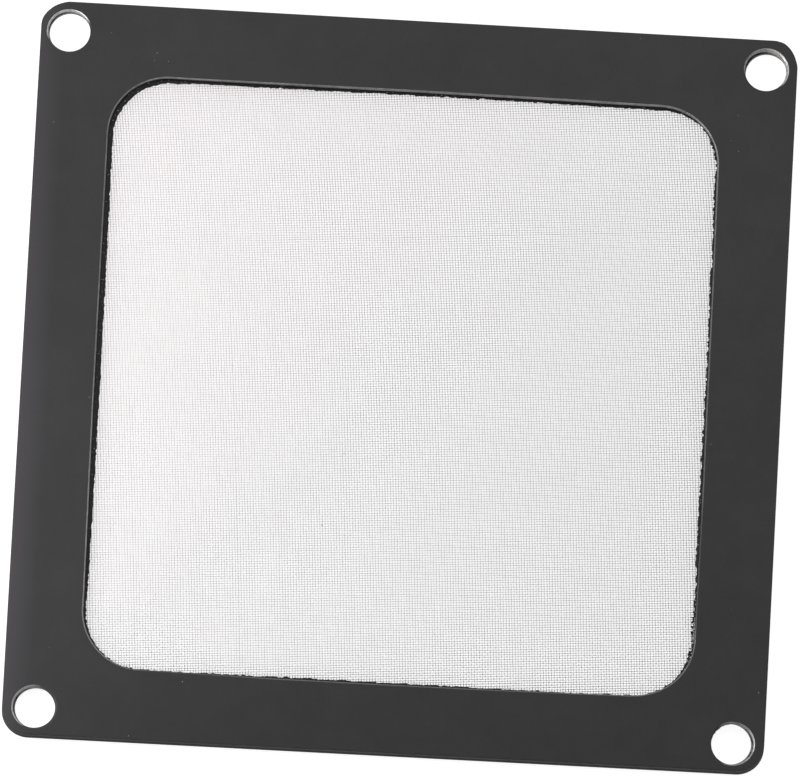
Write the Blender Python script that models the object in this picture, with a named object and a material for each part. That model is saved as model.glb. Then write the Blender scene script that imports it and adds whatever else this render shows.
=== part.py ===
"""Fan dust filter: a woven wire screen glued between two thin square frames.

Metres, +Z up. The filter lies on its back frame with its front face up, and the origin
is under its middle, on the surface that it lies on. From the bottom up it is a stack of
five flat pieces: back frame, adhesive film, wire screen, adhesive film, front frame.
Both frames have one large window and four screw holes on the pattern of an 80 mm fan.
"""

import math

import bmesh
import bpy

# Screw pattern of the fan, and the frame metal around each hole
SCREW_SPACING = 0.0715
SCREW_HOLE_DIAMETER = 0.0043
HOLE_TO_EDGE = 0.00315
PLATE_CORNER_RADIUS = 0.0028

# Rails of the frames, from the outer edge to the window that the air passes through
RAIL_WIDTH = 0.00755
WINDOW_CORNER_RADIUS = 0.0062

# Sheet of each frame, with the chamfers that break its edges
FRAME_THICKNESS = 0.0006
EDGE_BREAK = 0.00015

# Adhesive film on each side of the screen
ADHESIVE_THICKNESS = 0.00007
ADHESIVE_SQUEEZE = 0.00042
FRONT_ADHESIVE_DRIFT = 0.00016
FILM_SETBACK = 0.0003
FILM_HOLE_CLEARANCE = 0.0002

# Wire screen. Its strands stand for the fine wires: the real cloth has 90 by 100 wires an inch,
# and the strands keep that ratio, the wires' share of the pitch and the thickness of the cloth
SCREEN_THICKNESS = 0.00018
WEAVE_TUCK = 0.0004
GAPS_ACROSS = 9
GAPS_ALONG = 10
STRAND_SHARE_OF_PITCH = 0.36
STRAND_EDGE_SHARE = 0.4
STEP_DOWN_SHARE = 0.1

# Space left between one layer and the next
LAYER_CLEARANCE = 0.00002

# Points along each quarter of a curve
PLATE_CORNER_STEPS = 8
WINDOW_CORNER_STEPS = 12
HOLE_QUARTER_STEPS = 8

SHARP_ANGLE = math.radians(35)

PLATE_SIDE = SCREW_SPACING + 2 * HOLE_TO_EDGE
WINDOW_SIDE = PLATE_SIDE - 2 * RAIL_WIDTH
WEAVE_SIDE = WINDOW_SIDE + 2 * WEAVE_TUCK


def clear_scene():
    for old in list(bpy.data.objects):
        bpy.data.objects.remove(old, do_unlink=True)


def make_material(name, color, roughness, metallic):
    material = bpy.data.materials.new(name)
    material.use_nodes = True
    shader = material.node_tree.nodes["Principled BSDF"]
    shader.inputs["Base Color"].default_value = (*color, 1.0)
    shader.inputs["Roughness"].default_value = roughness
    shader.inputs["Metallic"].default_value = metallic
    return material


def quarter_arc(center_x, center_y, radius, start_angle, steps):
    """Points of a quarter turn, both ends included."""
    points = []
    for step in range(steps + 1):
        angle = start_angle + math.pi / 2 * step / steps
        points.append((center_x + radius * math.cos(angle), center_y + radius * math.sin(angle)))
    return points


def rounded_square(side, radius, steps, center_x=0.0):
    """A square with round corners, anticlockwise, about a centre on the X axis."""
    reach = side / 2 - radius
    points = []
    for quarter, (sign_x, sign_y) in enumerate(((1, 1), (-1, 1), (-1, -1), (1, -1))):
        start_angle = math.pi / 2 * quarter
        points += quarter_arc(center_x + sign_x * reach, sign_y * reach, radius, start_angle, steps)
    return points


def circle(center_x, center_y, diameter):
    steps = 4 * HOLE_QUARTER_STEPS
    turns = [2 * math.pi * step / steps for step in range(steps)]
    radius = diameter / 2
    return [(center_x + radius * math.cos(a), center_y + radius * math.sin(a)) for a in turns]


def screw_centers():
    reach = SCREW_SPACING / 2
    return [(-reach, -reach), (reach, -reach), (reach, reach), (-reach, reach)]


def frame_loops(inset):
    """Outline, window and screw holes of a frame, each drawn back from the metal's edge by inset."""
    outline = rounded_square(PLATE_SIDE - 2 * inset, PLATE_CORNER_RADIUS - inset, PLATE_CORNER_STEPS)
    window = rounded_square(WINDOW_SIDE + 2 * inset, WINDOW_CORNER_RADIUS + inset, WINDOW_CORNER_STEPS)
    holes = [circle(x, y, SCREW_HOLE_DIAMETER + 2 * inset) for x, y in screw_centers()]
    return [outline, window, *holes]


def film_outer_loops():
    """Outline and screw holes of a layer between the frames, a little inside the frames' own."""
    side = PLATE_SIDE - 2 * FILM_SETBACK
    outline = rounded_square(side, PLATE_CORNER_RADIUS - FILM_SETBACK, PLATE_CORNER_STEPS)
    diameter = SCREW_HOLE_DIAMETER + 2 * FILM_HOLE_CLEARANCE
    holes = [circle(x, y, diameter) for x, y in screw_centers()]
    return [outline, *holes]


def adhesive_loops(drift):
    """A film's loops: its opening is smaller than the window, because the glue is squeezed into it."""
    side = WINDOW_SIDE - 2 * ADHESIVE_SQUEEZE
    radius = WINDOW_CORNER_RADIUS - ADHESIVE_SQUEEZE
    return [*film_outer_loops(), rounded_square(side, radius, WINDOW_CORNER_STEPS, drift)]


def add_ring(shape, points, height):
    return [shape.verts.new((x, y, height)) for x, y in points]


def ring_edges(shape, ring):
    edges = []
    for first, second in zip(ring, ring[1:] + ring[:1], strict=True):
        edges.append(shape.edges.get((first, second)) or shape.edges.new((first, second)))
    return edges


def add_wall(shape, lower, upper):
    """Faces between two rings that have as many points."""
    count = len(lower)
    for index in range(count):
        following = (index + 1) % count
        shape.faces.new((lower[index], lower[following], upper[following], upper[index]))


def add_cap(shape, rings, up):
    """One flat face, in triangles, inside the first ring and outside the others."""
    edges = [edge for ring in rings for edge in ring_edges(shape, ring)]
    bmesh.ops.triangle_fill(shape, edges=edges, use_beauty=True, normal=(0, 0, up))


def finish_mesh(shape, name):
    bmesh.ops.recalc_face_normals(shape, faces=shape.faces)
    mesh = bpy.data.meshes.new(name)
    shape.to_mesh(mesh)
    shape.free()
    mesh.shade_smooth()
    mesh.set_sharp_from_angle(angle=SHARP_ANGLE)
    return mesh


def flat_sheet(name, loops_at, thickness, edge_break):
    """A sheet cut to loops_at(inset), with every edge of both faces chamfered by edge_break."""
    levels = [(0.0, edge_break), (edge_break, 0.0), (thickness - edge_break, 0.0), (thickness, edge_break)]
    if not edge_break:
        levels = [(0.0, 0.0), (thickness, 0.0)]
    shape = bmesh.new()
    stacks = []
    for height, inset in levels:
        stacks.append([add_ring(shape, loop, height) for loop in loops_at(inset)])
    for lower_rings, upper_rings in zip(stacks, stacks[1:], strict=False):
        for lower, upper in zip(lower_rings, upper_rings, strict=True):
            add_wall(shape, lower, upper)
    add_cap(shape, stacks[0], -1)
    add_cap(shape, stacks[-1], 1)
    return finish_mesh(shape, name)


class Strands:
    """One set of parallel strands of the screen, with its grid lines across the weave."""

    # Places of the grid lines across a strand, as a share of its half width: both edges and the
    # crown between them, and a line beside each edge, where a strand that passes under comes clear
    LINES = (-1.0 - STEP_DOWN_SHARE, -1.0, 0.0, 1.0, 1.0 + STEP_DOWN_SHARE)

    def __init__(self, gaps, first_is_over):
        self.pitch = WEAVE_SIDE / gaps
        self.half_width = self.pitch * STRAND_SHARE_OF_PITCH / 2
        self.first_sign = 1 if first_is_over else -1
        self.centers = [-WEAVE_SIDE / 2 + self.pitch * (index + 1) for index in range(gaps - 1)]
        self.lines = [(-WEAVE_SIDE / 2, None, 0.0)]
        for index, center in enumerate(self.centers):
            for share in self.LINES:
                on_strand = index if abs(share) <= 1.0 else None
                self.lines.append((center + share * self.half_width, on_strand, share))
        self.lines.append((WEAVE_SIDE / 2, None, 0.0))

    def covers(self, step):
        """Whether the strip between grid line step and the next lies on a strand."""
        here = self.lines[step][1]
        return here is not None and here == self.lines[step + 1][1]

    def surface(self, line, place, crossing):
        """Lowest and highest point of the strand on a grid line, at a place along it."""
        _, index, share = line
        crimp = SCREEN_THICKNESS / 4 * math.cos(math.pi * (place - crossing.centers[0]) / crossing.pitch)
        middle = crimp * self.first_sign * (-1) ** index
        crown = 1.0 if abs(share) < 1 else STRAND_EDGE_SHARE
        half = SCREEN_THICKNESS / 4 * crown
        return middle - half, middle + half


def weave_heights(warp, weft, warp_line, weft_line):
    """Lowest and highest point of the screen where two grid lines meet."""
    on_rim = warp_line in (warp.lines[0], warp.lines[-1]) or weft_line in (weft.lines[0], weft.lines[-1])
    if on_rim:
        return -SCREEN_THICKNESS / 2, SCREEN_THICKNESS / 2
    spans = []
    if warp_line[1] is not None:
        spans.append(warp.surface(warp_line, weft_line[0], weft))
    if weft_line[1] is not None:
        spans.append(weft.surface(weft_line, warp_line[0], warp))
    return min(low for low, _ in spans), max(high for _, high in spans)


def woven_screen(name):
    """The screen: strands that pass over and under each other, in one wall with a solid rim.

    The rim is the part that the films grip. The gaps between the strands go right through.
    """
    warp = Strands(GAPS_ACROSS, first_is_over=True)
    weft = Strands(GAPS_ALONG, first_is_over=False)
    columns = len(warp.lines)
    rows = len(weft.lines)
    shape = bmesh.new()
    made = {}

    def surface_points(column, row):
        """The points of the lower and the upper surface where two grid lines meet."""
        if (column, row) not in made:
            warp_line = warp.lines[column]
            weft_line = weft.lines[row]
            heights = weave_heights(warp, weft, warp_line, weft_line)
            made[column, row] = [
                shape.verts.new((warp_line[0], weft_line[0], SCREEN_THICKNESS / 2 + height))
                for height in heights
            ]
        return made[column, row]

    def solid(column, row):
        inside = 0 <= column < columns - 1 and 0 <= row < rows - 1
        return not inside or warp.covers(column) or weft.covers(row)

    for column in range(columns - 1):
        for row in range(rows - 1):
            corners = [(column, row), (column + 1, row), (column + 1, row + 1), (column, row + 1)]
            if solid(column, row):
                shape.faces.new([surface_points(*corner)[1] for corner in corners])
                shape.faces.new([surface_points(*corner)[0] for corner in reversed(corners)])
                continue
            neighbors = [(column, row - 1), (column + 1, row), (column, row + 1), (column - 1, row)]
            for side, neighbor in enumerate(neighbors):
                if solid(*neighbor):
                    first_low, first_high = surface_points(*corners[side])
                    second_low, second_high = surface_points(*corners[(side + 1) % 4])
                    shape.faces.new((first_high, second_high, second_low, first_low))

    border = [(column, 0) for column in range(columns - 1)]
    border += [(columns - 1, row) for row in range(rows - 1)]
    border += [(column, rows - 1) for column in range(columns - 1, 0, -1)]
    border += [(0, row) for row in range(rows - 1, 0, -1)]
    outer = film_outer_loops()
    lower = [add_ring(shape, loop, 0.0) for loop in outer]
    upper = [add_ring(shape, loop, SCREEN_THICKNESS) for loop in outer]
    for lower_ring, upper_ring in zip(lower, upper, strict=True):
        add_wall(shape, lower_ring, upper_ring)
    add_cap(shape, [*lower, [surface_points(*place)[0] for place in border]], -1)
    add_cap(shape, [*upper, [surface_points(*place)[1] for place in border]], 1)
    return finish_mesh(shape, name)


def place_layer(name, mesh, material, height, parent):
    layer = bpy.data.objects.new(name, mesh)
    layer.location = (0, 0, height)
    layer.parent = parent
    bpy.context.collection.objects.link(layer)
    mesh.materials.clear()
    mesh.materials.append(material)


def build():
    clear_scene()
    black_frame = make_material("black_frame", (0.047, 0.047, 0.050), 0.48, 0.35)
    steel_wire = make_material("steel_wire", (0.56, 0.55, 0.55), 0.35, 1.0)
    black_adhesive = make_material("black_adhesive", (0.012, 0.012, 0.012), 0.55, 0.0)

    frame_sheet = flat_sheet("frame_sheet", frame_loops, FRAME_THICKNESS, EDGE_BREAK)
    back_film = flat_sheet("back_film", lambda inset: adhesive_loops(0.0), ADHESIVE_THICKNESS, 0.0)
    front_film = flat_sheet(
        "front_film", lambda inset: adhesive_loops(FRONT_ADHESIVE_DRIFT), ADHESIVE_THICKNESS, 0.0
    )
    screen = woven_screen("woven_screen")

    stack = [
        ("back_frame", frame_sheet, black_frame, FRAME_THICKNESS),
        ("adhesive_back", back_film, black_adhesive, ADHESIVE_THICKNESS),
        ("filter_mesh", screen, steel_wire, SCREEN_THICKNESS),
        ("adhesive_front", front_film, black_adhesive, ADHESIVE_THICKNESS),
        ("front_frame", frame_sheet, black_frame, FRAME_THICKNESS),
    ]
    filter_root = bpy.data.objects.new("fan_dust_filter", None)
    bpy.context.collection.objects.link(filter_root)
    height = 0.0
    for name, mesh, material, thickness in stack:
        place_layer(name, mesh, material, height, filter_root)
        height += thickness + LAYER_CLEARANCE


build()
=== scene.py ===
"""Looks of the fan dust filter: satin black frames, ragged adhesive and fine woven wire cloth."""

import math
import random

import bmesh
import bpy
import numpy as np
from mathutils import Matrix, Vector, noise


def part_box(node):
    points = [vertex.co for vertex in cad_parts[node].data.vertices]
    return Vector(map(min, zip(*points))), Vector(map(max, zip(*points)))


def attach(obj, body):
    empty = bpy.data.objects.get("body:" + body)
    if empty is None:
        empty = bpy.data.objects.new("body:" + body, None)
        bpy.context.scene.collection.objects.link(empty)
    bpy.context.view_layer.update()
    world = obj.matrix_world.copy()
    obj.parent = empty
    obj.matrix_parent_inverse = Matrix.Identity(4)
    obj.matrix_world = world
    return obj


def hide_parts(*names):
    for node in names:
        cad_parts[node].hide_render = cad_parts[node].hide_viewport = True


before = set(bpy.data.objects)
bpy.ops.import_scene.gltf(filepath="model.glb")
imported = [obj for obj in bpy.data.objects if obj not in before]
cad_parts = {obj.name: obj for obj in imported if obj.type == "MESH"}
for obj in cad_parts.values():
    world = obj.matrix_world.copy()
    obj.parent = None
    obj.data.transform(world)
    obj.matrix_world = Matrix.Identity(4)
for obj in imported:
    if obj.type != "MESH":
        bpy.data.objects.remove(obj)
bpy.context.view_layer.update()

MM = 0.001

# Plate sizes in millimetres, the same as the CAD part's
SCREW_REACH = 35.75
HOLE_RADIUS = 2.15
PLATE_HALF = 38.9
PLATE_CORNER_RADIUS = 2.8
WINDOW_HALF = 31.35
WINDOW_CORNER_RADIUS = 6.2
# Width of the painted sheen along the left rim
SHEEN_RIM_WIDTH = 2.7

# How the films and the cloth lie against the plates, in millimetres
FILM_SETBACK = 0.01
CLOTH_SETBACK = 0.02
FILM_LAP = 0.42
CLOTH_LAP = 0.05
FILM_HOLE_CLEARANCE = 0.2
CLOTH_HOLE_CLEARANCE = 0.6
BACK_SQUEEZE = 0.10
HOLE_CREEP = 0.15
HOLE_RAGGEDNESS = 1.3

# The bead rises only past the plate's edge: how far past it, and over what width, in millimetres
RISE_START = 0.02
RISE_WIDTH = 0.10

# How far each corner of the plates lies from a true square, and each screw hole from its true place,
# in millimetres
CORNER_PULL = {
    (-1, 1): (0.08, 0.0),
    (1, 1): (0.04, -0.11),
    (-1, -1): (-0.05, 0.12),
    (1, -1): (0.04, 0.27),
}
FRONT_HOLE_SHIFT = {
    (-1, 1): (-0.16, 0.0),
    (1, 1): (0.0, -0.15),
    (-1, -1): (0.08, -0.13),
    (1, -1): (-0.08, -0.04),
}
BACK_HOLE_SHIFT = {
    (-1, 1): (-0.02, 0.05),
    (1, 1): (0.06, -0.28),
    (-1, -1): (0.28, 0.02),
    (1, -1): (-0.30, 0.20),
}

# How far the bottom of a hole in the front plate lies from its top
FRONT_HOLE_LEAN = {(1, 1): (-0.16, -0.14)}

# Edge of a stamped frame: how far below the face, and how far back from the cut, each line lies
ARRIS = ((0.0, 0.22), (0.0, 0.14), (0.010, 0.105), (0.105, 0.010), (0.14, 0.0))
OUTER_ARRIS_SCALE = 0.45
HOLE_ARRIS_SCALE = 1.15

# Below this depth, a line lies on the cut wall and no longer on its softened edge
WALL_DEPTH = 0.12

# Order of the materials on a frame plate, and on a film and the cloth's rim
FACE, WINDOW_EDGE, HOLE_EDGE, OUTER_EDGE = range(4)
BODY, PAINTED_LIGHT_EDGE = range(2)

# Points round each screw hole, and the spacing of points along the window's bead in millimetres
HOLE_STEPS = 96
BEAD_SPACING = 0.12

# Wire cloth
WARP_PITCH = 0.2822
WEFT_PITCH = 0.2540
WARP_RADIUS = 0.045
WEFT_RADIUS = 0.040
CLOTH_HALF = 31.28
CLOTH_CORNER_RADIUS = 6.13
WARP_LEAN = 0.0873
WARP_BOW = 0.000559
WARP_TWIST = 0.0000056
WEFT_LEAN = 0.0769
GROUPS = 3
HALF_WARPS = 140
HALF_WEFTS = 150
PITCH_SPREAD = 0.002
BROAD_SWAY = 0.006
FINE_SWAY = 0.004
DULL_WIRE_SHARE = 0.01

# The tables below are by clock angle: degrees anticlockwise from the right, seen from the front.
# How far the plates' outline is cut inside its true shape at two uneven corners
PLATE_TRIM = (
    (42.8, 0.0), (43.6, 0.08), (44.6, 0.03), (45.8, -0.08), (46.8, -0.03), (47.2, 0.0), (132.8, 0.0),
    (133.6, 0.09), (135.0, 0.07), (136.4, -0.04), (137.2, 0.0),
)

# How far the front window is cut inside its true outline
WINDOW_TRIM = (
    (0, 0.03), (24, 0.045), (32, 0.09), (50, 0.21), (62, 0.11), (90, 0.02), (125, 0.06), (138, -0.02),
    (185, 0.0), (200, 0.06), (218, 0.16), (224, 0.08), (232, 0.0), (250, -0.15), (270, -0.145),
    (290, -0.095), (303, 0.02), (311, 0.13), (315, 0.09), (322, 0.08), (328, 0.05), (336, 0.015),
    (345, 0.0), (360, 0.03),
)

# How far the front film reaches inside the same true outline
FRONT_SQUEEZE = (
    (0, 0.20), (30, 0.25), (40, 0.32), (46, 0.25), (52, 0.46), (60, 0.35), (95, 0.28), (125, 0.32),
    (135, 0.55), (142, 0.50), (160, 0.57), (212, 0.54), (222, 0.38), (229, 0.20), (235, 0.16),
    (260, 0.20), (303, 0.19), (310, 0.33), (315, 0.27), (320, 0.38), (328, 0.22), (345, 0.30),
    (360, 0.20),
)

# How bare the black edges are, from wear together with painted highlight that is brighter on the sides
# where each edge catches light: round the window, on its wall, and round each screw hole
WINDOW_WEAR_AND_GLINT = (
    (0, 0.28), (30, 0.36), (45, 0.75), (60, 0.66), (90, 0.52), (115, 0.57), (140, 0.46), (180, 0.50),
    (215, 0.72), (227, 0.60), (233, 0.12), (250, 0.30), (295, 0.30), (302, 0.45), (320, 0.45),
    (325, 0.12), (335, 0.12), (345, 0.25), (360, 0.28),
)
WALL_WEAR_AND_GLINT = ((0, 0.0), (35, 0.10), (50, 0.40), (60, 0.60), (100, 0.55), (112, 0.20), (125, 0.0), (360, 0.0))
HOLE_WEAR_AND_GLINT = {
    (-1, 1): (
        (0, 0.05), (25, 0.10), (40, 0.85), (90, 0.90), (150, 0.95), (192, 0.90), (205, 0.10), (360, 0.05),
    ),
    (1, 1): (
        (0, 1.00), (70, 1.00), (90, 0.60), (180, 0.50), (200, 0.05), (310, 0.05), (325, 0.85),
        (360, 1.00),
    ),
    (-1, -1): (
        (0, 0.05), (70, 0.10), (90, 0.55), (110, 0.75), (235, 0.75), (250, 0.05), (360, 0.05),
    ),
    (1, -1): (
        (0, 0.90), (60, 0.65), (120, 0.35), (135, 0.05), (240, 0.05), (255, 0.50), (290, 0.50),
        (305, 0.90), (360, 0.95),
    ),
}

# How worn the walls of the screw holes and the whole back plate are, with the same painted highlight,
# beside the edges above
HOLE_WALL_SHARE = 0.45
BACK_WEAR_AND_GLINT = 0.35

# Crumbs: where each lies in millimetres, and its size beside the usual one
FACE_DUST = (
    (-31.6, 35.8, 0.7), (-26.8, 33.9, 1.0), (-25.6, 33.1, 0.8), (-37.0, 26.0, 1.0), (22.7, 38.2, 0.9),
    (-20.7, -32.4, 1.2), (-25.9, -38.4, 1.1), (38.1, -30.3, 1.1), (33.1, 30.6, 0.7), (32.5, 27.9, 0.7),
    (33.3, 26.8, 0.8), (-31.0, 35.1, 0.5), (-27.0, 33.1, 0.5), (-34.5, -29.6, 0.6), (-33.0, -33.8, 0.5),
)
WIRE_ENDS = (
    (-29.82, 28.79, 1.0), (-30.48, 27.72, 1.1), (-30.72, 27.21, 0.9), (-30.95, 26.66, 0.8),
    (-27.5, 30.8, 0.9), (-26.2, 31.1, 0.8), (30.8, 27.4, 0.9), (31.2, 25.6, 1.0), (-31.2, -24.75, 1.0),
    (-30.9, 3.2, 0.6), (31.25, -20.0, 1.0), (31.1, -20.6, 1.2), (31.25, -21.2, 1.3), (31.2, -22.0, 1.2),
    (31.25, -22.7, 1.3), (31.2, -23.4, 1.6), (31.15, -23.8, 1.5), (31.2, -24.1, 1.7), (31.15, -24.4, 1.7),
    (31.1, -24.8, 1.5), (31.1, -25.3, 1.8), (31.05, -25.6, 1.2), (31.0, -26.1, 1.6), (30.95, -26.8, 1.5),
    (30.8, -27.3, 1.2), (30.65, -27.8, 1.3), (30.4, -28.1, 1.2), (30.0, -28.7, 1.0), (29.4, -29.3, 1.0),
)
ADHESIVE_LUMPS = (
    (31.1, -22.0, 0.9), (31.0, -22.6, 1.0), (31.0, -23.1, 1.0), (30.95, -23.6, 1.2), (30.95, -24.2, 1.1),
    (31.0, -24.7, 0.9), (30.9, -25.9, 0.9), (30.85, -26.3, 1.0), (30.7, -26.9, 1.0), (30.5, -27.6, 0.9),
    (30.3, -28.0, 0.8), (31.15, 12.0, 0.8), (31.15, 6.5, 0.8), (31.1, -4.0, 0.9), (31.15, -14.0, 0.9),
)
LOOSE_ENDS = (
    (31.16, -20.2, 0.9), (31.19, -20.8, 0.9), (31.18, -21.9, 0.8), (31.10, -25.9, 0.8),
    (31.05, -26.4, 0.7), (30.85, -27.2, 0.6), (31.15, -2.3, 0.9), (31.12, -2.6, 0.7), (31.16, -1.9, 0.6),
)
LOOSE_ENDS += tuple((31.20, -22.7 - 0.2 * step, 1.15) for step in range(14))
CLOTH_DIRT = ((-5.46, -7.29, 1.0), (-5.65, -7.51, 0.7), (-7.32, -14.91, 1.1))

# Photograph's view
VIEW_AZIMUTH = math.radians(-1.28)
VIEW_ELEVATION = math.radians(75.19)
VIEW_ROLL = math.radians(4.34)
VIEW_DISTANCE = 2.967
PIXELS_PER_MM = 9.767
VIEW_OFFSET_PIXELS = (0.75, 2.1)
IMAGE_WIDTH = 800
SENSOR_WIDTH = 36.0

# Floor: its size and place in metres, and how brightly the camera sees it
FLOOR_HALF = 3.0
FLOOR_DROP = 0.00002
FLOOR_GLOW = 0.905

bpy.context.scene.view_settings.view_transform = "Standard"


# Materials, with the small helpers that build their nodes

def new_material(name):
    material = bpy.data.materials.new(name)
    material.use_nodes = True
    return material, material.node_tree, material.node_tree.nodes["Principled BSDF"]


def add_node(tree, kind, **settings):
    node = tree.nodes.new(kind)
    for key, value in settings.items():
        setattr(node, key, value)
    return node


def object_coordinates(tree):
    return add_node(tree, "ShaderNodeTexCoord").outputs["Object"]


def noise_texture(tree, coordinates, scale, detail=2.0, roughness=0.5, distortion=0.0):
    node = add_node(tree, "ShaderNodeTexNoise")
    node.inputs["Scale"].default_value = scale
    node.inputs["Detail"].default_value = detail
    node.inputs["Roughness"].default_value = roughness
    node.inputs["Distortion"].default_value = distortion
    tree.links.new(coordinates, node.inputs["Vector"])
    return node.outputs["Fac"]


def remap(tree, value, from_low, from_high, to_low, to_high):
    node = add_node(tree, "ShaderNodeMapRange")
    node.inputs["From Min"].default_value = from_low
    node.inputs["From Max"].default_value = from_high
    node.inputs["To Min"].default_value = to_low
    node.inputs["To Max"].default_value = to_high
    tree.links.new(value, node.inputs["Value"])
    return node.outputs["Result"]


def math_node(tree, operation, first, second):
    node = add_node(tree, "ShaderNodeMath", operation=operation)
    for socket, value in zip(node.inputs, (first, second)):
        if isinstance(value, (int, float)):
            socket.default_value = value
        else:
            tree.links.new(value, socket)
    return node.outputs["Value"]


def mix_color(tree, factor, first, second, blend="MIX"):
    node = add_node(tree, "ShaderNodeMix", data_type="RGBA", blend_type=blend)
    sockets = {socket.identifier: socket for socket in node.inputs}
    for name, value in (("Factor_Float", factor), ("A_Color", first), ("B_Color", second)):
        socket = sockets[name]
        if isinstance(value, (int, float)):
            socket.default_value = value
        elif isinstance(value, tuple):
            socket.default_value = (*value, 1.0)
        else:
            tree.links.new(value, socket)
    return [output for output in node.outputs if output.type == "RGBA"][0]


def gray_color(tree, value):
    node = add_node(tree, "ShaderNodeCombineColor")
    for channel in ("Red", "Green", "Blue"):
        tree.links.new(value, node.inputs[channel])
    return node.outputs["Color"]


def add_bump(tree, shader, height, strength, distance):
    bump = add_node(tree, "ShaderNodeBump")
    bump.inputs["Strength"].default_value = strength
    bump.inputs["Distance"].default_value = distance
    tree.links.new(height, bump.inputs["Height"])
    tree.links.new(bump.outputs["Normal"], shader.inputs["Normal"])


def anodised_material(name, color, roughness, metallic):
    """Satin black anodised sheet: a fine grain, faint mottling, specks of dust, painted light and shade
    that darken it towards the left and lighten it towards the right, and a painted sheen along the left
    rim.
    """
    material, tree, shader = new_material(name)
    coordinates = object_coordinates(tree)
    mottle = noise_texture(tree, coordinates, 260.0, 3.0, 0.6)
    grain = noise_texture(tree, coordinates, 5200.0, 2.0, 0.7)
    broad = noise_texture(tree, coordinates, 45.0, 2.0, 0.5)
    dark = tuple(0.90 * c for c in color)
    light = tuple(1.10 * c for c in color)
    shade = mix_color(tree, remap(tree, mottle, 0.3, 0.7, 0.0, 1.0), dark, light)
    grain_shade = gray_color(tree, remap(tree, grain, 0.25, 0.75, 0.90, 1.10))
    shade = mix_color(tree, 1.0, shade, grain_shade, "MULTIPLY")
    place = add_node(tree, "ShaderNodeSeparateXYZ")
    tree.links.new(coordinates, place.inputs["Vector"])
    side = PLATE_HALF * MM
    # Painted light and shade: the face is painted darker towards the left edge and lighter towards the
    # right, evening out the light of the left lamp
    painted_light_gradient = gray_color(tree, remap(tree, place.outputs["X"], -side, side, 0.92, 1.06))
    shade = mix_color(tree, 1.0, shade, painted_light_gradient, "MULTIPLY")
    # Painted sheen: a pale, pinkish band painted along the left rim, where the edge catches light
    left_sheen_mask = remap(tree, place.outputs["X"], -side, SHEEN_RIM_WIDTH * MM - side, 0.55, 0.0)
    painted_sheen_color = (2.373 * color[0], 2.10 * color[1], 2.142 * color[2])
    shade = mix_color(tree, left_sheen_mask, shade, painted_sheen_color)
    dust = add_node(tree, "ShaderNodeTexVoronoi")
    dust.inputs["Scale"].default_value = 210.0
    tree.links.new(coordinates, dust.inputs["Vector"])
    spot = remap(tree, dust.outputs["Distance"], 0.020, 0.034, 1.0, 0.0)
    pick = remap(tree, noise_texture(tree, coordinates, 90.0), 0.52, 0.58, 0.0, 0.16)
    shade = mix_color(tree, math_node(tree, "MULTIPLY", spot, pick), shade, (0.55, 0.55, 0.56))
    tree.links.new(shade, shader.inputs["Base Color"])
    rough = remap(tree, broad, 0.3, 0.7, roughness - 0.03, roughness + 0.03)
    tree.links.new(rough, shader.inputs["Roughness"])
    shader.inputs["Metallic"].default_value = metallic
    add_bump(tree, shader, grain, 0.10, 0.00001)
    return material


def edge_material(name, black, bare, tint, roughness):
    """Cut edge of the sheet. A point attribute tells how much of the black is off it, partly from wear and
    partly as painted highlight where the edge catches light.
    """
    material, tree, shader = new_material(name)
    coordinates = object_coordinates(tree)
    stretch = add_node(tree, "ShaderNodeMapping")
    stretch.inputs["Scale"].default_value = (1.0, 1.0, 0.25)
    tree.links.new(coordinates, stretch.inputs["Vector"])
    streaks = noise_texture(tree, stretch.outputs["Vector"], 2600.0, 3.0, 0.6)
    patches = noise_texture(tree, coordinates, 420.0, 2.0, 0.6)
    streak_part = math_node(tree, "MULTIPLY", streaks, 0.55)
    patch_part = math_node(tree, "MULTIPLY", patches, 0.45)
    spread = math_node(tree, "ADD", streak_part, patch_part)
    # The attribute is wear together with painted highlight: bare, bright metal on the sides where the edge
    # catches light
    wear_and_glint = add_node(tree, "ShaderNodeAttribute", attribute_name="wear_and_glint").outputs["Fac"]
    share = math_node(tree, "MULTIPLY", wear_and_glint, remap(tree, spread, 0.36, 0.62, 0.55, 1.15))
    metal = mix_color(tree, remap(tree, patches, 0.4, 0.7, 0.0, 0.5), bare, tint)
    shader.inputs["Specular IOR Level"].default_value = 0.3
    shade = mix_color(tree, share, black, metal)
    tree.links.new(shade, shader.inputs["Base Color"])
    rough = remap(tree, streaks, 0.3, 0.7, roughness - 0.06, roughness + 0.08)
    tree.links.new(rough, shader.inputs["Roughness"])
    tree.links.new(remap(tree, share, 0.0, 1.0, 0.3, 0.65), shader.inputs["Metallic"])
    add_bump(tree, shader, streaks, 0.35, 0.00003)
    return material


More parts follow.
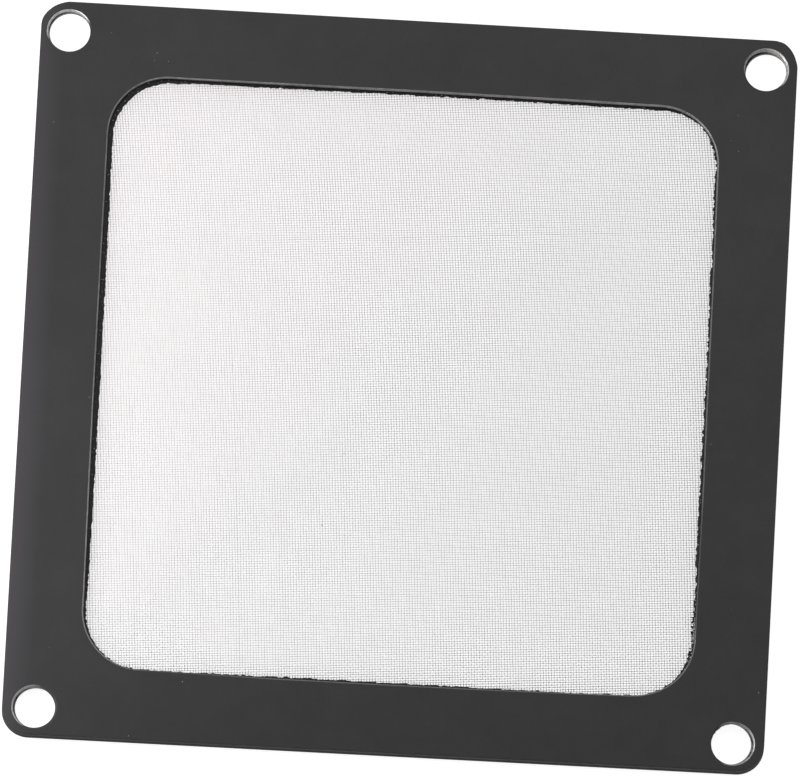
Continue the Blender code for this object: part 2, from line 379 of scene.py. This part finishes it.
def wire_material():
    """Drawn stainless wire: each wire has its own tone, and a few are dull.

    Towards the lower right the cloth is painted darker as painted shade, and towards the upper left it is
    painted paler and pinker as a painted light tint, and is smoother.
    """
    material, tree, shader = new_material("steel_wire_cloth")
    coordinates = object_coordinates(tree)
    tone = add_node(tree, "ShaderNodeAttribute", attribute_name="wire_tone").outputs["Fac"]
    stain = noise_texture(tree, coordinates, 120.0, 3.0, 0.6)
    base = mix_color(tree, tone, (0.30, 0.29, 0.29), (0.93, 0.92, 0.92))
    product = add_node(tree, "ShaderNodeVectorMath", operation="DOT_PRODUCT")
    product.inputs[1].default_value = (1.0, -0.8, 0.0)
    tree.links.new(coordinates, product.inputs[0])
    lower_right = product.outputs["Value"]
    # Painted light: a pink tint painted towards the upper left
    painted_pink_light = remap(tree, lower_right, -0.044, -0.004, 0.9, 0.0)
    base = mix_color(tree, painted_pink_light, base, (0.845, 0.80, 0.812))
    # Painted shade: the cloth painted darker towards the lower right
    painted_shading = remap(tree, lower_right, -0.036, 0.042, 0.0, 0.38)
    base = mix_color(tree, painted_shading, base, (0.45, 0.45, 0.455))
    shade = mix_color(tree, remap(tree, stain, 0.35, 0.75, 0.0, 0.15), base, (0.62, 0.59, 0.59))
    tree.links.new(shade, shader.inputs["Base Color"])
    rough = remap(tree, noise_texture(tree, coordinates, 9000.0), 0.3, 0.7, 0.28, 0.42)
    dull = remap(tree, lower_right, -0.020, 0.036, 0.22, 0.02)
    tree.links.new(math_node(tree, "ADD", rough, dull), shader.inputs["Roughness"])
    shader.inputs["Metallic"].default_value = 1.0
    return material


def adhesive_material():
    """Black adhesive with a lumpy skin and light specks where wire ends and lint are caught."""
    material, tree, shader = new_material("black_adhesive_film")
    coordinates = object_coordinates(tree)
    lumps = noise_texture(tree, coordinates, 2600.0, 3.0, 0.65)
    spots = noise_texture(tree, coordinates, 5200.0, 1.0, 0.5)
    height = remap(tree, lumps, 0.3, 0.7, 0.0, 1.0)
    shade = mix_color(tree, height, (0.002, 0.002, 0.002), (0.009, 0.009, 0.010))
    shade = mix_color(tree, remap(tree, spots, 0.69, 0.75, 0.0, 0.75), shade, (0.42, 0.38, 0.34))
    shader.inputs["Specular IOR Level"].default_value = 0.4
    tree.links.new(shade, shader.inputs["Base Color"])
    tree.links.new(remap(tree, lumps, 0.3, 0.7, 0.35, 0.65), shader.inputs["Roughness"])
    add_bump(tree, shader, lumps, 0.6, 0.00006)
    return material


def plain_material(name, color, roughness):
    """Dust, chips, or an edge painted lighter as painted light: a dull colour, broken up by a fine noise.
    """
    material, tree, shader = new_material(name)
    grain = noise_texture(tree, object_coordinates(tree), 9000.0, 2.0, 0.6)
    shade = mix_color(tree, remap(tree, grain, 0.3, 0.7, 0.0, 1.0), tuple(0.7 * c for c in color), color)
    tree.links.new(shade, shader.inputs["Base Color"])
    shader.inputs["Roughness"].default_value = roughness
    return material


# Outlines. Each is a list of (point, outward direction) pairs in millimetres, anticlockwise

def by_angle(table, x, y):
    """The table's value at the clock angle of a place."""
    angle = math.degrees(math.atan2(y, x)) % 360.0
    return float(np.interp(angle, [entry[0] for entry in table], [entry[1] for entry in table]))


def arc_points(center, radius, start, turn, steps):
    points = []
    for step in range(steps + 1):
        angle = start + turn * step / steps
        direction = Vector((math.cos(angle), math.sin(angle)))
        points.append((Vector(center) + radius * direction, direction))
    return points


def rounded_square(half, radius, steps):
    reach = half - radius
    points = []
    for quarter, (sign_x, sign_y) in enumerate(((1, 1), (-1, 1), (-1, -1), (1, -1))):
        center = (sign_x * reach, sign_y * reach)
        points += arc_points(center, radius, math.pi / 2 * quarter, math.pi / 2, steps)
    return points


def circle(center, radius, steps):
    return arc_points(center, radius, 0.0, math.tau, steps)[:-1]


def dense(outline, spacing):
    """The same closed outline with points no further apart than spacing."""
    points = []
    for index, (point, direction) in enumerate(outline):
        following, next_direction = outline[(index + 1) % len(outline)]
        steps = max(1, math.ceil((following - point).length / spacing))
        for step in range(steps):
            share = step / steps
            turned = direction.lerp(next_direction, share).normalized()
            points.append((point.lerp(following, share), turned))
    return points


def pulled(outline):
    """The plates' outer outline, with its corners pulled off a true square."""
    points = []
    for point, direction in outline:
        pull = Vector((0.0, 0.0))
        for (side_x, side_y), corner_pull in CORNER_PULL.items():
            share = (1.0 + side_x * point.x / PLATE_HALF) * (1.0 + side_y * point.y / PLATE_HALF) / 4.0
            pull += share * Vector(corner_pull)
        pull -= by_angle(PLATE_TRIM, point.x, point.y) * direction
        points.append((point + pull, direction))
    return points


def trimmed(outline, table):
    """The same outline, cut back by what the table says."""
    points = []
    for point, direction in outline:
        points.append((point - by_angle(table, point.x, point.y) * direction, direction))
    return points


def screw_centers(shifts):
    centers = []
    for corner in ((-1, -1), (1, -1), (1, 1), (-1, 1)):
        shift = shifts.get(corner, (0.0, 0.0))
        centers.append((corner[0] * SCREW_REACH + shift[0], corner[1] * SCREW_REACH + shift[1]))
    return centers


def corner_of(x, y):
    return (1 if x > 0 else -1, 1 if y > 0 else -1)


# Meshes and finished pieces

def offset_ring(shape, outline, distance, height):
    return [shape.verts.new((*((p + distance * n) * MM), height * MM)) for p, n in outline]


def add_wall(shape, lower, upper, material_index=0):
    count = len(lower)
    for index in range(count):
        following = (index + 1) % count
        face = shape.faces.new((lower[index], lower[following], upper[following], upper[index]))
        face.material_index = material_index


def add_cap(shape, rings, up):
    edges = []
    for ring in rings:
        for first, second in zip(ring, ring[1:] + ring[:1]):
            edges.append(shape.edges.get((first, second)) or shape.edges.new((first, second)))
    bmesh.ops.triangle_fill(shape, edges=edges, use_beauty=True, normal=(0, 0, up))


def finish_piece(shape, name, materials, replaced, sharp_degrees=40.0):
    bmesh.ops.recalc_face_normals(shape, faces=shape.faces)
    mesh = bpy.data.meshes.new(name)
    shape.to_mesh(mesh)
    shape.free()
    mesh.shade_smooth()
    mesh.set_sharp_from_angle(angle=math.radians(sharp_degrees))
    return finish_mesh(mesh, name, materials, replaced)


def finish_mesh(mesh, name, materials, replaced):
    for material in materials:
        mesh.materials.append(material)
    piece = bpy.data.objects.new(name, mesh)
    bpy.context.scene.collection.objects.link(piece)
    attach(piece, "root")
    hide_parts(*replaced)
    return piece


def heights(node):
    """Bottom and top of a CAD node, in millimetres."""
    low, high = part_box(node)
    return low.z / MM, high.z / MM


# Frames

def window_wear_and_glint(place):
    return by_angle(WINDOW_WEAR_AND_GLINT, place.x, place.y)


def wall_wear_and_glint(place):
    return by_angle(WALL_WEAR_AND_GLINT, place.x, place.y)


def hole_wear_and_glint(place):
    side_x, side_y = corner_of(place.x, place.y)
    table = HOLE_WEAR_AND_GLINT[(side_x, side_y)]
    return by_angle(table, place.x - side_x * SCREW_REACH, place.y - side_y * SCREW_REACH)


def hole_wall_wear_and_glint(place):
    return HOLE_WALL_SHARE * hole_wear_and_glint(place)


def no_wear_nor_glint(place):
    return 0.0


def frame_plate(name, node, materials, wear_and_glint_scale, trim, hole_shift, hole_lean):
    """A frame with fine arcs and softened edges. Materials: face, window edge, hole edge, outer edge."""
    low, high = heights(node)
    thickness = high - low
    window = trimmed(dense(rounded_square(WINDOW_HALF, WINDOW_CORNER_RADIUS, 40), 1.5), trim)
    plate = pulled(rounded_square(PLATE_HALF, PLATE_CORNER_RADIUS, 24))
    upright = (0.0, 0.0)
    outlines = [(plate, -1, OUTER_EDGE, no_wear_nor_glint, no_wear_nor_glint, OUTER_ARRIS_SCALE, upright)]
    outlines.append((window, 1, WINDOW_EDGE, window_wear_and_glint, wall_wear_and_glint, 1.0, upright))
    for center in screw_centers(hole_shift):
        lean = hole_lean.get(corner_of(*center), upright)
        outline = circle(center, HOLE_RADIUS, HOLE_STEPS)
        outlines.append((outline, 1, HOLE_EDGE, hole_wear_and_glint, hole_wall_wear_and_glint, HOLE_ARRIS_SCALE, lean))
    shape = bmesh.new()
    wear_and_glint = shape.verts.layers.float.new("wear_and_glint")
    bottoms = []
    tops = []
    for outline, side, material_index, edge_wear_and_glint, cut_wear_and_glint, scale, lean in outlines:
        levels = [(scale * depth, scale * inset) for depth, inset in ARRIS]
        levels += [(thickness - scale * depth, scale * inset) for depth, inset in reversed(ARRIS)]
        rings = []
        for depth, inset in levels:
            moved = Vector(lean) * (1.0 - depth / thickness)
            leaning = [(point + moved, direction) for point, direction in outline]
            rings.append(offset_ring(shape, leaning, side * inset, low + depth))
        for (depth, _), ring in zip(levels, rings):
            on_wall = scale * WALL_DEPTH < depth < thickness - scale * WALL_DEPTH
            for vertex, (point, _) in zip(ring, outline):
                # Bare metal from wear, with painted highlight on the sides where each edge catches light
                vertex[wear_and_glint] = wear_and_glint_scale * (cut_wear_and_glint(point) if on_wall else edge_wear_and_glint(point))
        for step, (lower, upper) in enumerate(zip(rings, rings[1:])):
            on_face = step in (0, len(rings) - 2)
            add_wall(shape, lower, upper, FACE if on_face else material_index)
        bottoms.append(rings[0])
        tops.append(rings[-1])
    add_cap(shape, bottoms, -1)
    add_cap(shape, tops, 1)
    return finish_piece(shape, name, materials, [node], 50.0)


# Adhesive films

def ragged(place, seed):
    """How far the glue runs past its mean line at a place, in millimetres."""
    here = Vector((place.x, place.y, 17.0 * seed))
    broad = noise.noise(here / 6.0)
    middle = noise.noise(here / 1.3 + Vector((5, 0, 0)))
    fine = noise.noise(here / 0.30 + Vector((0, 9, 0)))
    comb = noise.noise(here / 0.15 + Vector((3, 3, 0)))
    return 0.04 * broad + 0.04 * middle + 0.10 * fine + 0.05 * comb


def lump(place, seed):
    here = Vector((place.x, place.y, 31.0 * seed))
    return 0.6 * noise.noise(here / 0.7) + 0.4 * noise.noise(here / 0.28)


def film_outlines(setback, hole_radius, shifts):
    plate = pulled(rounded_square(PLATE_HALF - setback, PLATE_CORNER_RADIUS - setback, 16))
    return [plate, *[circle(center, hole_radius, HOLE_STEPS) for center in screw_centers(shifts)]]


def film_rings(shape, level, seed, hole_shift):
    """The film's outer edge, and its ragged edges that have crept into the screw holes, most at the top."""
    plate, *holes = film_outlines(FILM_SETBACK, HOLE_RADIUS + FILM_HOLE_CLEARANCE, hole_shift)
    rings = [offset_ring(shape, plate, 0.0, level)]
    for hole in holes:
        crept = []
        for point, direction in hole:
            creep = HOLE_CREEP * min(0.6 + direction.y, 1.0)
            move = HOLE_RAGGEDNESS * ragged(point, seed) - creep
            crept.append((point + move * direction, direction))
        rings.append(offset_ring(shape, crept, 0.0, level))
    return rings


def front_squeeze(place, direction):
    """The front film was laid off centre, so more of it shows at the left. It is roughest at the right."""
    right_hand = max(direction.x, 0.0)
    blobs = 0.12 * right_hand * noise.noise(Vector((place.x, place.y, 3.0)) / 0.45)
    rough = (1.0 + 0.4 * right_hand) * ragged(place, 1)
    return by_angle(FRONT_SQUEEZE, place.x, place.y) + rough + blobs


def back_squeeze(place, direction):
    return BACK_SQUEEZE + ragged(place, 2)


def adhesive_film(name, node, squeeze, up, seed, trim, hole_shift, materials):
    """A film with its squeezed-out bead. up is 1 for the film above the cloth, and -1 below it."""
    low, high = heights(node)
    cloth_low, cloth_high = heights("filter_mesh")
    middle = (cloth_low + cloth_high) / 2
    outer_face = high if up > 0 else low
    cloth_face = low if up > 0 else high
    shape = bmesh.new()
    window = dense(rounded_square(WINDOW_HALF, WINDOW_CORNER_RADIUS, 60), BEAD_SPACING)
    # Section of the bead: share of the way into the window, height, and how lumpy it is
    rows = [
        (0.0, outer_face, 0.0),
        (0.35, outer_face + up * 0.03, 0.02),
        (0.55, outer_face + up * 0.04, 0.04),
        (0.75, outer_face + up * 0.02, 0.05),
        (0.90, outer_face - up * 0.02, 0.04),
        (1.0, middle + up * 0.055, 0.02),
        (0.96, middle + up * 0.01, 0.0),
        (0.0, cloth_face, 0.0),
    ]
    rings = []
    for share, height, rough in rows:
        ring = []
        for point, direction in window:
            reach = squeeze(point, direction)
            into_window = share * (reach + FILM_LAP) - FILM_LAP
            place = point - into_window * direction
            past_plate = into_window - by_angle(trim, point.x, point.y)
            free = min(max((past_plate - RISE_START) / RISE_WIDTH, 0.0), 1.0)
            rises = up * (height - outer_face) > 0
            level = outer_face + free * (height - outer_face) if rises else height
            level += up * free * rough * lump(place, seed)
            ring.append(shape.verts.new((place.x * MM, place.y * MM, level * MM)))
        rings.append(ring)
    for first, second in zip(rings, rings[1:]):
        add_wall(shape, first, second)
    outer_rings = film_rings(shape, outer_face, seed, hole_shift)
    cloth_rings = film_rings(shape, cloth_face, seed, hole_shift)
    for index, (first, second) in enumerate(zip(outer_rings, cloth_rings)):
        add_wall(shape, first, second, PAINTED_LIGHT_EDGE if index == 0 else BODY)
    add_cap(shape, [*outer_rings, rings[0]], up)
    add_cap(shape, [*cloth_rings, rings[-1]], -up)
    return finish_piece(shape, name, materials, [node], 80.0)


def cloth_rim(materials):
    """The cloth where the films grip it, which shows only from the side, between the frames."""
    low, high = heights("filter_mesh")
    shape = bmesh.new()
    outlines = film_outlines(CLOTH_SETBACK, HOLE_RADIUS + CLOTH_HOLE_CLEARANCE, {})
    outlines.append(rounded_square(CLOTH_HALF - CLOTH_LAP, CLOTH_CORNER_RADIUS, 24))
    lower = [offset_ring(shape, outline, 0.0, low) for outline in outlines]
    upper = [offset_ring(shape, outline, 0.0, high) for outline in outlines]
    for index, (first, second) in enumerate(zip(lower, upper)):
        add_wall(shape, first, second, PAINTED_LIGHT_EDGE if index == 0 else BODY)
    add_cap(shape, lower, -1)
    add_cap(shape, upper, 1)
    return finish_piece(shape, "cloth_rim", materials, ["filter_mesh"])


# Crumbs

def crumb(shape, x, y, z, size, flatness, draw):
    """An irregular chip, lying at a place given in millimetres."""
    turn = Matrix.Rotation(draw.uniform(0.0, math.tau), 4, "Z")
    length = size * draw.uniform(0.7, 1.5)
    width = size * draw.uniform(0.6, 1.0)
    stretch = Matrix.Diagonal((length, width, size * flatness, 1.0))
    frame_at = Matrix.Translation((x * MM, y * MM, z * MM)) @ turn @ Matrix.Scale(MM, 4) @ stretch
    made = bmesh.ops.create_icosphere(shape, subdivisions=1, radius=1.0, matrix=frame_at)
    for vertex in made["verts"]:
        wobble = Vector([draw.uniform(-0.22, 0.22) * size * MM for _ in range(3)])
        wobble.z *= flatness
        vertex.co += wobble


def crumbs(name, places, z, size, flatness, seed, material, replaced):
    """A piece made of many crumbs, all lying at height z in millimetres, in the order of its places."""
    draw = random.Random(seed)
    shape = bmesh.new()
    for x, y, scale in places:
        crumb(shape, x, y, z, size * scale, flatness, draw)
    finish_piece(shape, name, [material], [replaced])


def all_crumbs(adhesive):
    """Each line tells the height, the usual size, the flatness and the seed of one piece's crumbs."""
    pale = plain_material("pale_dust", (0.62, 0.62, 0.62), 0.8)
    bright = plain_material("bare_chips", (0.95, 0.93, 0.88), 0.5)
    brown = plain_material("brown_dust", (0.10, 0.09, 0.08), 0.8)
    face, glue, cloth = (heights(node)[1] for node in ("front_frame", "adhesive_front", "filter_mesh"))
    crumbs("face_dust", FACE_DUST, face, 0.045, 0.35, 3, pale, "front_frame")
    film = "adhesive_front"
    crumbs("caught_wire_ends", WIRE_ENDS, glue + 0.05, 0.045, 0.6, 4, bright, film)
    crumbs("loose_wire_ends", LOOSE_ENDS, glue + 0.14, 0.075, 0.6, 8, bright, film)
    crumbs("adhesive_lumps", ADHESIVE_LUMPS, glue + 0.02, 0.13, 0.5, 5, adhesive, film)
    crumbs("cloth_dirt", CLOTH_DIRT, cloth - 0.03, 0.07, 0.8, 6, brown, "filter_mesh")


# Wire cloth

def warp_shift(y):
    """How far a warp wire has leaned and bowed to the left at y."""
    return WARP_LEAN * y + WARP_BOW * y ** 2 + WARP_TWIST * y ** 3


def cloth_lattice():
    """Where the wires cross, in millimetres, and 1 where the warp is on top: arrays over (warp, weft)."""
    draw = np.random.default_rng(20)
    warps = np.arange(-HALF_WARPS, HALF_WARPS + 1)
    wefts = np.arange(-HALF_WEFTS, HALF_WEFTS + 1)
    warp_start = warps * WARP_PITCH + draw.normal(0.0, PITCH_SPREAD, warps.size)
    weft_start = wefts * WEFT_PITCH + draw.normal(0.0, PITCH_SPREAD, wefts.size)
    warp_wave = draw.uniform(0.0, math.tau, (warps.size, 2))
    weft_wave = draw.uniform(0.0, math.tau, (wefts.size, 2))
    x = np.repeat(warp_start[:, None], wefts.size, 1)
    y = np.repeat(weft_start[None, :], warps.size, 0)
    # Each set of wires bends the other's path, so the crossings are found in a few rounds
    for _ in range(6):
        sway = BROAD_SWAY * np.sin(y / 3.1 + warp_wave[:, :1])
        sway += FINE_SWAY * np.sin(y / 1.3 + warp_wave[:, 1:])
        x = warp_start[:, None] - warp_shift(y) + sway
        rise = BROAD_SWAY * np.sin(x / 3.7 + weft_wave[:, 0][None, :])
        rise += FINE_SWAY * np.sin(x / 1.1 + weft_wave[:, 1][None, :])
        y = weft_start[None, :] + WEFT_LEAN * x + rise
    over = np.where((warps[:, None] + wefts[None, :]) % 2 == 0, 1.0, -1.0)
    return x, y, over


def inside_cloth(x, y):
    reach = CLOTH_HALF - CLOTH_CORNER_RADIUS
    past_x = np.maximum(np.abs(x) - reach, 0.0)
    past_y = np.maximum(np.abs(y) - reach, 0.0)
    return np.hypot(past_x, past_y) < CLOTH_CORNER_RADIUS


def wire_mesh(name, wires, middle, radius):
    """One mesh for some wires. Each wire is (x, y, rise, tone), with a point at every crossing."""
    points = []
    faces = []
    tones = []
    first = 0
    for x, y, rise, tone in wires:
        count = len(x)
        line = np.stack([x, y, middle + radius * rise], 1)
        along = np.gradient(line[:, :2], axis=0)
        along /= np.linalg.norm(along, axis=1)[:, None]
        side = np.stack([along[:, 1], -along[:, 0], np.zeros(count)], 1) * radius
        above = np.array([0.0, 0.0, radius])
        rings = np.stack([line + above, line + side, line - above, line - side], 1)
        points.append(rings.reshape(-1, 3))
        starts = first + 4 * np.arange(count - 1)
        for corner in range(4):
            following = (corner + 1) % 4
            quads = [starts + corner, starts + following, starts + following + 4, starts + corner + 4]
            faces.append(np.stack(quads, 1))
        last = first + 4 * (count - 1)
        faces.append(np.array([[first + 3, first + 2, first + 1, first]]))
        faces.append(np.array([[last, last + 1, last + 2, last + 3]]))
        tones.append(np.full(4 * count, tone))
        first += 4 * count
    points = np.concatenate(points) * MM
    faces = np.concatenate(faces)
    mesh = bpy.data.meshes.new(name)
    mesh.vertices.add(len(points))
    mesh.vertices.foreach_set("co", points.astype(np.float32).ravel())
    mesh.loops.add(faces.size)
    mesh.loops.foreach_set("vertex_index", faces.astype(np.int32).ravel())
    mesh.polygons.add(len(faces))
    mesh.polygons.foreach_set("loop_start", (4 * np.arange(len(faces))).astype(np.int32))
    mesh.update(calc_edges=True)
    tone_layer = mesh.attributes.new("wire_tone", "FLOAT", "POINT")
    tone_layer.data.foreach_set("value", np.concatenate(tones).astype(np.float32))
    mesh.shade_smooth()
    return mesh


def collect_wires(x, y, over, draw):
    """The wires that run along the second axis of the lattice, cut where they leave the window."""
    wires = []
    inside = inside_cloth(x, y)
    for index in range(x.shape[0]):
        places = np.flatnonzero(inside[index])
        if places.size < 3:
            continue
        run = slice(places[0], places[-1] + 1)
        tone = draw.uniform(0.81, 0.86)
        if draw.random() < DULL_WIRE_SHARE:
            tone = draw.uniform(0.62, 0.72)
        wires.append((x[index, run], y[index, run], over[index, run], tone))
    return wires


def wire_cloth(material):
    low, high = heights("filter_mesh")
    middle = (low + high) / 2
    draw = np.random.default_rng(7)
    x, y, over = cloth_lattice()
    warps = collect_wires(x, y, over, draw)
    wefts = collect_wires(x.T, y.T, -over.T, draw)
    for set_name, wires, radius in (("warp_wires", warps, WARP_RADIUS), ("weft_wires", wefts, WEFT_RADIUS)):
        size = math.ceil(len(wires) / GROUPS)
        for group in range(GROUPS):
            name = f"{set_name}_{group + 1}"
            mesh = wire_mesh(name, wires[group * size:(group + 1) * size], middle, radius)
            finish_mesh(mesh, name, [material], ["filter_mesh"])


# Scene around the object

def pale_floor():
    mesh = bpy.data.meshes.new("floor")
    sides = ((-1, -1), (1, -1), (1, 1), (-1, 1))
    corners = [(side_x * FLOOR_HALF, side_y * FLOOR_HALF, 0.0) for side_x, side_y in sides]
    mesh.from_pydata(corners, [], [(0, 1, 2, 3)])
    floor = bpy.data.objects.new("floor", mesh)
    floor.location.z = -FLOOR_DROP
    bpy.context.scene.collection.objects.link(floor)
    material, tree, shader = new_material("floor_white")
    shader.inputs["Base Color"].default_value = (0.42, 0.42, 0.42, 1.0)
    shader.inputs["Roughness"].default_value = 0.9
    shader.inputs["Specular IOR Level"].default_value = 0.0
    path = add_node(tree, "ShaderNodeLightPath")
    seen = math_node(tree, "MAXIMUM", path.outputs["Is Camera Ray"], path.outputs["Is Glossy Ray"])
    seen = math_node(tree, "MAXIMUM", seen, path.outputs["Is Transmission Ray"])
    shader.inputs["Emission Color"].default_value = (1.0, 1.0, 1.0, 1.0)
    tree.links.new(math_node(tree, "MULTIPLY", seen, FLOOR_GLOW), shader.inputs["Emission Strength"])
    mesh.materials.append(material)


def soft_light(name, place, target, size, power):
    lamp = bpy.data.lights.new(name, "AREA")
    lamp.shape = "DISK"
    lamp.size = size
    lamp.energy = power
    light = bpy.data.objects.new(name, lamp)
    light.location = place
    light.rotation_euler = (Vector(target) - Vector(place)).to_track_quat("-Z", "Y").to_euler()
    bpy.context.scene.collection.objects.link(light)


def studio():
    world = bpy.data.worlds.new("studio")
    world.use_nodes = True
    world.node_tree.nodes["Background"].inputs["Color"].default_value = (1.0, 1.0, 1.0, 1.0)
    world.node_tree.nodes["Background"].inputs["Strength"].default_value = 0.24
    bpy.context.scene.world = world
    soft_light("left_light", (-0.085, -0.012, 0.06), (-0.02, 0.0, 0.0), 0.06, 0.047)
    soft_light("back_light", (-0.06, 0.16, 0.30), (0.0, 0.0, 0.0), 0.20, 0.18)
    soft_light("right_light", (0.12, 0.05, 0.20), (0.02, 0.0, 0.0), 0.20, 0.075)
    soft_light("upper_left_light", (-0.13, 0.03, 0.20), (-0.02, 0.0, 0.0), 0.20, 0.03)


def photo_camera():
    azimuth, elevation = VIEW_AZIMUTH, VIEW_ELEVATION
    level = math.cos(elevation)
    away = Vector((level * math.sin(azimuth), -level * math.cos(azimuth), math.sin(elevation)))
    right = (-away).cross(Vector((0.0, 0.0, 1.0))).normalized()
    up = right.cross(-away)
    turned_right = math.cos(VIEW_ROLL) * right + math.sin(VIEW_ROLL) * up
    turned_up = -math.sin(VIEW_ROLL) * right + math.cos(VIEW_ROLL) * up
    left_shift, up_shift = (pixels / PIXELS_PER_MM * MM for pixels in VIEW_OFFSET_PIXELS)
    data = bpy.data.cameras.new("photo_camera")
    data.sensor_width = SENSOR_WIDTH
    data.lens = PIXELS_PER_MM * VIEW_DISTANCE / MM * SENSOR_WIDTH / IMAGE_WIDTH
    data.clip_start = 0.1
    data.clip_end = 20.0
    camera = bpy.data.objects.new("photo_camera", data)
    place = away * VIEW_DISTANCE - turned_right * left_shift + turned_up * up_shift
    turn = Matrix((turned_right, turned_up, away)).transposed().to_4x4()
    camera.matrix_world = Matrix.Translation(place) @ turn
    bpy.context.scene.collection.objects.link(camera)
    bpy.context.scene.camera = camera


def build():
    black = (0.030, 0.030, 0.032)
    hole_black = (0.020, 0.020, 0.022)
    # Painted light: the outer edges are painted lighter than the black sheet, so their shaded side walls
    # look as bright as the face
    painted_light_black = (0.064, 0.064, 0.065)
    gray = (0.50, 0.50, 0.50)
    face = anodised_material("black_frame_face", black, 0.46, 0.30)
    window_edge = edge_material("window_edge", black, (0.62, 0.62, 0.62), (0.55, 0.52, 0.47), 0.42)
    hole_edge = edge_material("screw_hole_edge", hole_black, (0.90, 0.90, 0.89), (0.80, 0.76, 0.72), 0.40)
    outer_edge = edge_material("outer_edge", painted_light_black, gray, gray, 0.75)
    adhesive = adhesive_material()
    wire = wire_material()
    edges = [face, window_edge, hole_edge, outer_edge]
    untrimmed = ((0, 0.0), (360, 0.0))
    frame_plate("front_plate", "front_frame", edges, 1.0, WINDOW_TRIM, FRONT_HOLE_SHIFT, FRONT_HOLE_LEAN)
    frame_plate("back_plate", "back_frame", edges, BACK_WEAR_AND_GLINT, untrimmed, BACK_HOLE_SHIFT, {})
    # Painted light: the side walls of the films and the cloth's rim are painted lighter, so they look lit
    # where they lie in shade between the plates
    painted_shading = plain_material("painted_light_film_edge", (0.095, 0.095, 0.096), 0.9)
    film = [adhesive, painted_shading]
    adhesive_film("front_film", "adhesive_front", front_squeeze, 1, 1, WINDOW_TRIM, FRONT_HOLE_SHIFT, film)
    adhesive_film("back_film", "adhesive_back", back_squeeze, -1, 2, untrimmed, BACK_HOLE_SHIFT, film)
    all_crumbs(adhesive)
    cloth_rim([wire, painted_shading])
    wire_cloth(wire)
    pale_floor()
    studio()
    photo_camera()


build()
